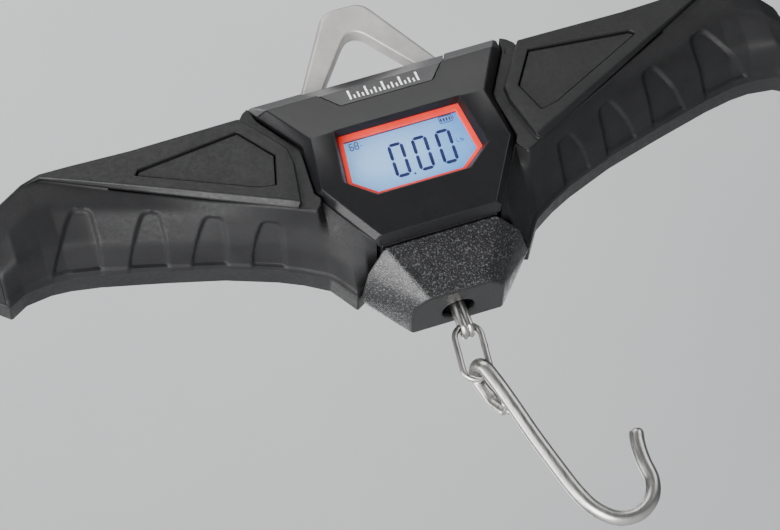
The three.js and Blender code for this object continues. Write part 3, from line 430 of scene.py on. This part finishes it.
# Rounding of each piece's edges in millimetres, and the number of facets round an edge.
ROUNDING = {
    "front_shell": (0.45, 3), "rear_shell": (0.45, 3), "chin_cap": (0.8, 3),
    "face_plate": (0.35, 3), "display_bezel": (0.15, 2), "name_plate": (0.2, 2),
    "hanging_loop": (0.8, 4), "battery_door": (0.4, 3),
    "wing_panel_right": (0.35, 3), "wing_panel_left": (0.35, 3),
}
BUTTON_ROUNDING = (0.4, 3)
BUTTON_INSIDE_Y = 32.0      # the plunger and flange of a button, in front of this, keep sharp edges
SIDE_TURN = 0.80            # how far a chin face's normal points sideways, down or back
UNDER_TURN = -0.72
REAR_TURN = 0.5


def two_finishes(chin):
    """The chin's side walls, underside and back are smooth and the rest is spark textured, with
    painted glints in its colour.
    """
    chin.data.materials[0] = SPARK_GRAIN_AND_GLINTS
    chin.data.materials.append(SATIN_SHELL)
    for face in chin.data.polygons:
        x, y, z = face.normal
        if abs(x) > SIDE_TURN or z < UNDER_TURN or y > REAR_TURN:
            face.material_index = 1


for piece_name, (rounding, facets) in ROUNDING.items():
    fine_piece = refined(piece_name, rounding, facets)
    if piece_name == "chin_cap":
        two_finishes(fine_piece)
for button_name in ("units", "power", "store"):
    refined(f"button_{button_name}", *BUTTON_ROUNDING, from_y=BUTTON_INSIDE_Y)


# ---------------------------------------------------------------- rubber grips

# Sections of the grip, outwards: x, then (y, z) of its upper edge, finger line and round, and the
# height of its lip at the parting plane.
GRIP = [
    (19.6, (3.0, -20.4), (8.0, -20.7), (14.0, -21.2), -21.9),
    (23.0, (3.0, -14.6), (7.4, -18.6), (13.0, -22.4), -23.9),
    (27.2, (3.0, -7.3), (7.6, -13.2), (14.0, -20.0), -26.3),
    (30.6, (2.4, -1.7), (7.4, -9.6), (14.0, -16.4), -20.6),
    (31.8, (1.3, -4.4), (7.4, -9.3), (14.0, -15.0), -19.2),
    (33.0, (0.1, -6.6), (7.4, -9.0), (14.0, -13.6), -17.8),
    (40.0, (0.2, -3.1), (6.6, -5.2), (13.5, -9.8), -13.4),
    (47.0, (1.2, 0.8), (6.2, -2.0), (13.0, -6.6), -10.0),
    (62.0, (3.3, 9.1), (5.8, 4.6), (13.0, -1.2), -4.3),
    (79.0, (5.8, 18.8), (6.6, 12.6), (12.5, 4.6), 0.4),
    (98.0, (8.6, 29.7), (7.8, 20.8), (12.4, 10.6), 5.2),
    (107.0, (9.6, 34.6), (7.8, 24.5), (11.8, 12.2), 6.8),
    (113.0, (9.6, 34.3), (7.2, 24.0), (10.6, 12.0), 7.2),
    (121.0, (10.6, 30.2), (6.4, 20.0), (8.6, 9.4), 6.2),
    (126.5, (12.8, 24.4), (9.4, 16.6), (10.4, 7.6), 3.0),
    (127.2, (13.5, 22.9), (10.4, 15.9), (11.3, 7.8), 3.6),
]
# Finger recesses: top inner and outer x, bottom inner and outer x.
FINGERS = [(43.5, 48.8, 44.4, 54.2), (59.3, 64.2, 60.4, 71.4), (76.5, 81.3, 77.5, 89.5),
           (95.6, 100.8, 96.6, 112.0)]
GRIP_THICK = 2.6
GRIP_END_X = 127.35
GRIP_END_ROUNDING = (0.8, 4)
GRIP_STEP = 0.55            # distance between sections along the wing
GRIP_ROWS = 54              # points round the outer skin of a section
GRIP_INNER_ROWS = 10
# A mark counts 0 at the upper edge, 1 at the finger line, 2 at the round and 3 at the lip.
RECESS_FROM, RECESS_LENGTH = 0.97, 1.9
RECESS_DEPTH, RECESS_SHALLOWER = 1.15, 0.35
RECESS_BOW, RECESS_EDGE, RECESS_TOP = 0.9, 0.55, 14.0
LIP_HEIGHT, LIP_FROM, LIP_FULL = 0.45, 2.80, 2.84
LIP_RECESS_SHARE = 0.35     # share of a recess's depth that goes on across the lip
UPPER_EDGE_SINK, UPPER_EDGE_MARK = 0.35, 0.05


def grip_section(x):
    """Interpolated upper edge, finger line, round and lip at x."""
    for a, b in zip(GRIP, GRIP[1:]):
        if x <= b[0]:
            break
    t = (x - a[0]) / (b[0] - a[0])
    points = [Vector(p).lerp(Vector(q), t) for p, q in zip(a[1:4], b[1:4])]
    return [*points, Vector((PARTING_Y, a[4] + (b[4] - a[4]) * t))]


def softened(points, count, rounds):
    """count points along a chain in the YZ plane, with its corners smoothed."""
    lengths = [0.0]
    for a, b in zip(points, points[1:]):
        lengths.append(lengths[-1] + (b - a).length)
    chain, marks = [], []
    for i in range(count):
        target = lengths[-1] * i / (count - 1)
        k = max(j for j in range(len(points) - 1) if lengths[j] <= target + 1e-9)
        t = (target - lengths[k]) / (lengths[k + 1] - lengths[k])
        chain.append(points[k].lerp(points[k + 1], t))
        marks.append(k + t)
    for _ in range(rounds):
        chain = [chain[0], *[(a + 2 * b + c) / 4 for a, b, c in zip(chain, chain[1:], chain[2:])],
                 chain[-1]]
    return chain, marks


def finger_depth(x, mark):
    """How far the finger recesses sink the skin at x and at a mark along the section."""
    along = (mark - RECESS_FROM) / RECESS_LENGTH
    if along < -0.2:
        return 0.0
    for top_in, top_out, low_in, low_out in FINGERS:
        bow = math.sin(min(1.0, max(0.0, along)) * math.pi) * RECESS_BOW
        inner = top_in + (low_in - top_in) * along - bow * 0.25
        outer = top_out + (low_out - top_out) * along + bow
        gaps = (x - inner, outer - x, along * RECESS_TOP)
        soft = -math.log(sum(math.exp(-g / RECESS_EDGE) for g in gaps)) * RECESS_EDGE
        if soft > 0:
            return (RECESS_DEPTH - RECESS_SHALLOWER * along) * smoothstep(soft, 0.0, 0.75)
    return 0.0


def build_grip(side, name):
    node = f"grip_{name}"
    bm = bmesh.new()
    start, end = GRIP[0][0], GRIP[-1][0]
    stations = int((end - start) / GRIP_STEP) + 1
    rings = []
    for i in range(stations + 1):
        x = min(end, start + GRIP_STEP * i)
        section = grip_section(x)
        chain, marks = softened(section, GRIP_ROWS, 14)
        inner, _ = softened([
            section[0] + Vector((GRIP_THICK, 0.25 * GRIP_THICK)),
            section[1] + Vector((0.95 * GRIP_THICK, 0.45 * GRIP_THICK)),
            section[2] + Vector((0.6 * GRIP_THICK, 0.85 * GRIP_THICK)),
            section[3] + Vector((0.0, GRIP_THICK))], GRIP_INNER_ROWS, 2)
        ring = []
        for k, point in enumerate(chain):
            before, after = chain[max(0, k - 1)], chain[min(GRIP_ROWS - 1, k + 1)]
            along = (after - before).normalized()
            normal = Vector((-along.y, along.x))
            if normal.x > 0 and normal.y > 0:
                normal = -normal
            lip = LIP_HEIGHT * smoothstep(marks[k], LIP_FROM, LIP_FULL)
            sink = finger_depth(x, marks[k])
            fade = LIP_RECESS_SHARE if marks[k] > (LIP_FROM + LIP_FULL) / 2 else 1.0
            edge = UPPER_EDGE_SINK * (1 - smoothstep(marks[k], 0.0, UPPER_EDGE_MARK))
            moved = point + normal * (lip - sink * fade - edge)
            moved.x = min(moved.x, PARTING_Y)
            ring.append(bm.verts.new(at(side * x, moved.x, moved.y)))
        ring += [bm.verts.new(at(side * x, p.x, p.y)) for p in reversed(inner)]
        rings.append(ring)
    ring_faces(bm, rings, False)
    bm.faces.new(rings[0][::-1])
    bm.faces.new(rings[-1])
    place(bm, f"{node}_fine", node, sharp=50.0)
    build_grip_end(side, node)


def build_grip_end(side, node):
    """The solid rubber cap that closes the wing tip, beyond the end of the grip's skin."""
    bm = bmesh.new()
    bm.from_mesh(frame["nodes"][node].data)
    cut = bmesh.ops.bisect_plane(bm, geom=[*bm.verts, *bm.edges, *bm.faces],
                                 plane_co=at(side * GRIP_END_X, 0, 0), plane_no=(side, 0, 0),
                                 clear_inner=True)
    rim = [e for e in cut["geom_cut"] if isinstance(e, bmesh.types.BMEdge)]
    bmesh.ops.holes_fill(bm, edges=rim, sides=0)
    round_edges(bm, *GRIP_END_ROUNDING)
    place(bm, f"{node}_end_fine", node, replace=False)


build_grip(1, "right")
build_grip(-1, "left")


# ---------------------------------------------------------------- display and name plate

SEGMENT_Y = 7.78
SEGMENT_DEPTH = Vector((0, 0.08, 0))

# Each digit: places of its lower left corners, z, width, height, lean and bar thickness.
READING = {"x": (-5.3, 2.2, 9.7), "z": 1.2, "size": (3.9, 10.9), "lean": 0.55, "bar": 1.05}
POINT = {"x": (-0.45, 0.35), "z": 0.7, "bar": 0.85}
TEMPERATURE = {"places": ((-16.0, "acdefg"), (-14.4, "abcdefg")), "z": 14.1, "size": (1.05, 2.3),
               "lean": 0.1, "bar": 0.28}
DEGREE_MARK = {"x": (-12.8, -12.2), "z": 14.9, "bar": 0.2}
UNIT = {"places": ((15.5, "def"), (16.8, "cdefg")), "z": 7.1, "size": (0.8, 1.2), "lean": 0.05,
        "bar": 0.17}
CHARGE_BARS = {"x": (13.3, 14.2, 15.1, 16.0), "z": (15.0, 16.3), "bar": 0.45}
BATTERY_FRAME = {"x": (12.8, 16.7), "z": (14.6, 16.8), "bar": 0.2}
BATTERY_TIP = {"x": 17.1, "z": (15.3, 16.1)}


def stroke(bm, a, b, width, y=SEGMENT_Y, depth=SEGMENT_DEPTH, trim=0.0):
    """Six-sided bar from a to b in the XZ plane."""
    a, b = Vector(a), Vector(b)
    along = (b - a).normalized()
    a, b = a + along * trim, b - along * trim
    across = Vector((-along.y, along.x)) * width / 2
    nose = along * width / 2
    corners = [a - nose * 0.1, a + across + nose, b + across - nose, b + nose * 0.1,
               b - across - nose, a - across + nose]
    prism(bm, [(p.x, y, p.y) for p in corners], depth)


def digit(bm, x, z, width, height, lean, thick, segments):
    """Seven-segment digit whose lower left corner is (x, z)."""
    def corner(u, v):
        return (x + width * u + lean * v, z + height * v)
    bars = {
        "a": (corner(0, 1), corner(1, 1)), "b": (corner(1, 0.5), corner(1, 1)),
        "c": (corner(1, 0), corner(1, 0.5)), "d": (corner(0, 0), corner(1, 0)),
        "e": (corner(0, 0), corner(0, 0.5)), "f": (corner(0, 0.5), corner(0, 1)),
        "g": (corner(0, 0.5), corner(1, 0.5)),
    }
    for key in segments:
        stroke(bm, *bars[key], thick, trim=thick * 0.18)


def build_segments():
    bm = bmesh.new()
    for x in READING["x"]:
        digit(bm, x, READING["z"], *READING["size"], READING["lean"], READING["bar"], "abcdef")
    stroke(bm, (POINT["x"][0], POINT["z"]), (POINT["x"][1], POINT["z"]), POINT["bar"])
    for row in (TEMPERATURE, UNIT):
        for x, segments in row["places"]:
            digit(bm, x, row["z"], *row["size"], row["lean"], row["bar"], segments)
    stroke(bm, (DEGREE_MARK["x"][0], DEGREE_MARK["z"]), (DEGREE_MARK["x"][1], DEGREE_MARK["z"]),
           DEGREE_MARK["bar"])
    for x in CHARGE_BARS["x"]:
        stroke(bm, (x, CHARGE_BARS["z"][0]), (x, CHARGE_BARS["z"][1]), CHARGE_BARS["bar"])
    (left, right), (low, high) = BATTERY_FRAME["x"], BATTERY_FRAME["z"]
    outline = [((left, low), (right, low)), ((left, high), (right, high)),
               ((left, low), (left, high)), ((right, low), (right, high)),
               ((BATTERY_TIP["x"], BATTERY_TIP["z"][0]), (BATTERY_TIP["x"], BATTERY_TIP["z"][1]))]
    for a, b in outline:
        stroke(bm, a, b, BATTERY_FRAME["bar"])
    return place(bm, "display_segments", "lcd_panel", SEGMENT, replace=False)


build_segments()


# Foot and head of the sloping face above the display, as (y, z).
SLOPE = ((0.0, 17.8), (4.7, 34.2))
MARKS = {"each_side": 8, "pitch": 1.35, "low": 29.2, "thick": 0.35}
# Height of the top and half width of a long, middle and short mark.
LONG_MARK = (33.0, 0.30)
MIDDLE_MARK = (31.6, 0.22)
SHORT_MARK = (30.7, 0.22)


def face_point(x, z, proud):
    """Point on the sloping face above the display, in front of it by proud."""
    low, high = SLOPE
    y = low[0] + (high[0] - low[0]) * (z - low[1]) / (high[1] - low[1])
    return (x, y - proud, z)


def build_scale_marks():
    """Silver graduation marks on the name plate."""
    bm = bmesh.new()
    low, thick = MARKS["low"], MARKS["thick"]
    for i in range(-MARKS["each_side"], MARKS["each_side"] + 1):
        x = i * MARKS["pitch"]
        high, half = LONG_MARK if i % 4 == 0 else MIDDLE_MARK if i % 2 == 0 else SHORT_MARK
        corners = ((x - half, low), (x + half, low), (x + half, high), (x - half, high))
        prism(bm, [face_point(*corner, -thick) for corner in corners], Vector((0, thick, 0)))
    return place(bm, "scale_marks", "name_plate", SILVER, replace=False)


build_scale_marks()


# ---------------------------------------------------------------- eye, link and hook

BAIL = {"wire": 2.1, "half": 2.4, "pitch": 1.9, "bottom": -48.5, "top": -27.0, "turn": 0.0}
LINK = {"wire": 1.9, "half": 4.05, "top": -45.3, "bottom": -63.5, "lean": -6.0}
LINK_WELD = {"stations_back": 5, "swell": 0.16, "length": 1.3}
STRAND_SLIM = 0.985         # the round strands stay just inside the CAD's faceted ones
CURVE_STEP = {"bail": 0.5, "hook": 0.7}
HOOK_WIRE = 4.5
HOOK_SLIM = 0.86            # the wire at the eye, as a share of the shank's
HOOK_SLIM_ENDS = (12.0, 22.0)
HOOK_FLAT = 0.28            # how much the wire is flattened where the tail lies on the shank
HOOK_FLAT_ENDS = (6.0, 12.0)
HOOK_TIP_LENGTH, HOOK_ROOT_LENGTH = 2.0, 1.2
# Beads of the tack weld: sideways place and size.
TACK_BEADS = ((0.0, 1.0), (0.9, 0.8), (-0.9, 0.75))
TACK_RADIUS = 1.15
TACK_STRETCH = (0.9, 1.1, 1.5)
HOOK_EYE = {"x": -0.5, "z": -63.4, "radius": 3.9, "turn": 16.0, "lean": 15.5}
HOOK_BEND = [(9.7, -98.0), (12.4, -107.4), (15.4, -113.7), (20.3, -118.3), (26.3, -119.1),
             (31.6, -116.1), (34.2, -110.6), (34.0, -104.0), (34.4, -98.4), (35.6, -93.6)]


def bail_strand(bm, side):
    """One of the two wires of the eye."""
    turn = math.radians(BAIL["turn"])
    opening = Vector((math.sin(turn), math.cos(turn), 0))
    beside = Vector((math.cos(turn), -math.sin(turn), 0)) * side * BAIL["pitch"] / 2
    middle = Vector((0, AXIS_Y, 0)) + beside
    half, centre = BAIL["half"], BAIL["bottom"] + BAIL["half"]
    arc = [math.pi * i / 8 for i in range(9)]
    places = [(-half, BAIL["top"]), (-half, (BAIL["top"] + centre) / 2)]
    places += [(-half * math.cos(a), centre - half * math.sin(a)) for a in arc]
    places += [(half, (BAIL["top"] + centre) / 2), (half, BAIL["top"])]
    points = [middle + opening * u + Vector((0, 0, z)) for u, z in places]
    radius = BAIL["wire"] / 2 * STRAND_SLIM
    sweep(bm, curve_through(points, CURVE_STEP["bail"]), lambda t: radius, 20)


def build_bail():
    bm = bmesh.new()
    bail_strand(bm, -1)
    bail_strand(bm, 1)
    place(bm, "eye_bail_fine", "eye_bail")


def build_link():
    top, bottom = LINK["top"] - LINK["half"], LINK["bottom"] + LINK["half"]
    loop = []
    straight = 14
    for centre, start in ((top, 0.0), (bottom, math.pi)):
        for i in range(25):
            angle = start + math.pi * i / 24
            loop.append(Vector((LINK["half"] * math.cos(angle), AXIS_Y,
                                centre + LINK["half"] * math.sin(angle))))
        end, other = loop[-1], bottom if centre == top else top
        for i in range(1, straight):
            loop.append(Vector((end.x, AXIS_Y, centre + (other - centre) * i / straight)))
    lean = Matrix.Rotation(math.radians(-LINK["lean"]), 3, "Y")
    pivot = Vector((0, 0, LINK["top"]))
    path = [lean @ (p - pivot) + pivot for p in loop]
    weld = len(path) - LINK_WELD["stations_back"]

    def radius(t):
        away = abs(t * (len(path) - 1) - weld)
        swell = LINK_WELD["swell"] * math.exp(-(away / LINK_WELD["length"]) ** 2)
        return LINK["wire"] / 2 * (1 + swell)

    bm = bmesh.new()
    sweep(bm, path, radius, 18, closed=True)
    place(bm, "chain_link_fine", "chain_link")


def build_hook():
    lean = math.radians(HOOK_EYE["lean"])
    turn = math.radians(HOOK_EYE["turn"])
    down = Vector((math.sin(lean), 0, -math.cos(lean)))
    side = Vector((math.cos(lean), 0, math.sin(lean)))
    back = Vector((0, math.cos(turn), 0)) - side * math.sin(turn)
    centre = Vector((HOOK_EYE["x"], AXIS_Y, HOOK_EYE["z"]))
    r = HOOK_EYE["radius"]

    def point(across, along):
        return centre + back * across + down * along

    points = [point(r - 3.0, 12.6), point(r - 1.6, 9.2), point(r - 0.2, 5.5)]
    for i in range(9):
        angle = math.pi * i / 8
        points.append(point(r * math.cos(angle), -r * math.sin(angle)))
    points += [point(-r, 6), point(-r + 0.6, 14), point(-r + 1.6, 24)]
    points += [Vector((x, AXIS_Y - 1.6, z)) for x, z in HOOK_BEND]
    path = curve_through(points, CURVE_STEP["hook"])
    length = CURVE_STEP["hook"] * (len(path) - 1)

    def radius(t):
        s, left = t * length, (1 - t) * length
        tip = math.sqrt(max(0.02, 1 - max(0.0, 1 - left / HOOK_TIP_LENGTH) ** 2))
        root = math.sqrt(max(0.05, 1 - max(0.0, 1 - s / HOOK_ROOT_LENGTH) ** 2))
        slim = HOOK_SLIM + (1 - HOOK_SLIM) * smoothstep(s, *HOOK_SLIM_ENDS)
        return HOOK_WIRE / 2 * tip * root * slim

    def squeeze(t):
        return 1 - HOOK_FLAT * (1 - smoothstep(t * length, *HOOK_FLAT_ENDS))

    bm = bmesh.new()
    sweep(bm, path, radius, 24, squeeze=squeeze)
    place(bm, "hook_fine", "hook")
    bead = bmesh.new()
    for k, (dx, size) in enumerate(TACK_BEADS):
        blob = bmesh.ops.create_icosphere(bead, subdivisions=3, radius=size * TACK_RADIUS * MM)
        shift = at(*(point(r - 4.0, 11.4 + 1.3 * (k - 1)) + side * dx * 0.4))
        for v in blob["verts"]:
            v.co = v.co * Vector(TACK_STRETCH) + shift
    place(bead, "hook_tack_weld", "hook", replace=False)


build_bail()
build_link()
build_hook()


# ---------------------------------------------------------------- stage, lights and camera


def studio_look():
    look = Look("studio_pale", Roughness=0.9)
    pale = [(0.3, (0.70, 0.705, 0.715)), (0.7, (0.74, 0.745, 0.75))]
    look.colour(look.ramp(look.noise(400.0), pale))
    return look.material


# In metres: the floor lies below the hanging object and the wall behind it is kept low.
STAGE = {"floor_z": -0.75, "wall_y": 3.0, "wall_top": 2.4, "bend": 0.8, "half": 5.0, "front": -5.0}


def build_stage():
    """A floor that curves up into a wall behind the object."""
    bm = bmesh.new()
    floor_z, wall_y, bend, half = (STAGE[key] for key in ("floor_z", "wall_y", "bend", "half"))
    profile = [(STAGE["front"], floor_z), (wall_y - bend, floor_z)]
    profile += [(wall_y - bend + bend * math.sin(a), floor_z + bend - bend * math.cos(a))
                for a in (math.pi / 2 * i / 16 for i in range(1, 17))]
    profile.append((wall_y, STAGE["wall_top"]))
    rows = [[bm.verts.new((x, y, z)) for x in (-half, half)] for y, z in profile]
    for a, b in zip(rows, rows[1:]):
        bm.faces.new((a[0], a[1], b[1], b[0]))
    mesh = bpy.data.meshes.new("stage_floor")
    bm.to_mesh(mesh)
    bm.free()
    mesh.shade_smooth()
    mesh.materials.append(studio_look())
    floor = bpy.data.objects.new("stage_floor", mesh)
    bpy.context.scene.collection.objects.link(floor)


def area_light(name, position, target, size, power):
    data = bpy.data.lights.new(name, "AREA")
    data.shape = "RECTANGLE"
    data.size, data.size_y = size
    data.energy = power
    lamp = bpy.data.objects.new(name, data)
    lamp.location = position
    lamp.rotation_mode = "QUATERNION"
    lamp.rotation_quaternion = (Vector(target) - Vector(position)).to_track_quat("-Z", "Y")
    bpy.context.scene.collection.objects.link(lamp)


build_stage()
MIDDLE = at(0, 10, 0)
WALL_MIDDLE = (0.0, STAGE["wall_y"], 0.9)
# Place and aim in metres, width and height in metres, and power in watts.
LIGHTS = {
    "key_left": ((-0.68, -0.59, -0.50), MIDDLE, (0.75, 0.55), 21),
    "side_left": ((-1.25, 0.05, -0.10), MIDDLE, (0.7, 0.7), 12),
    "top_front": ((-0.10, -0.75, 1.05), MIDDLE, (1.2, 0.6), 9),
    "right_fill": ((1.0, -0.8, 0.35), MIDDLE, (0.8, 0.6), 5),
    "rim_back": ((0.0, 1.2, 0.15), MIDDLE, (1.2, 0.4), 6),
    "wall_wash": ((0.0, 1.0, 2.6), WALL_MIDDLE, (2.5, 1.0), 60),
}
for light_name, light in LIGHTS.items():
    area_light(light_name, *light)

SKY_COLOUR = (0.84, 0.88, 0.95, 1)
SKY_STRENGTH = 0.17
world = bpy.data.worlds.new("studio")
world.use_nodes = True
sky = world.node_tree.nodes["Background"]
sky.inputs["Color"].default_value = SKY_COLOUR
sky.inputs["Strength"].default_value = SKY_STRENGTH
bpy.context.scene.world = world

# The camera looks up at the scale from in front, a little below and to the left, rolled.
CAMERA_PLACE = (-0.16508, -0.79305, -0.47895)
CAMERA_RIGHT = Vector((0.94594, -0.01666, -0.32392))
CAMERA_UP = Vector((0.27798, -0.47296, 0.83608))
CAMERA_SENSOR = 36.0
CAMERA_LENS = 138.46
CAMERA_CLIP = (0.05, 50.0)
camera_data = bpy.data.cameras.new("camera")
camera_data.sensor_width = CAMERA_SENSOR
camera_data.lens = CAMERA_LENS
camera_data.clip_start, camera_data.clip_end = CAMERA_CLIP
camera = bpy.data.objects.new("camera", camera_data)
bpy.context.scene.collection.objects.link(camera)
axes = (CAMERA_RIGHT, CAMERA_UP, CAMERA_RIGHT.cross(CAMERA_UP))
camera.matrix_world = Matrix.Translation(CAMERA_PLACE) @ Matrix(axes).transposed().to_4x4()
bpy.context.scene.camera = camera
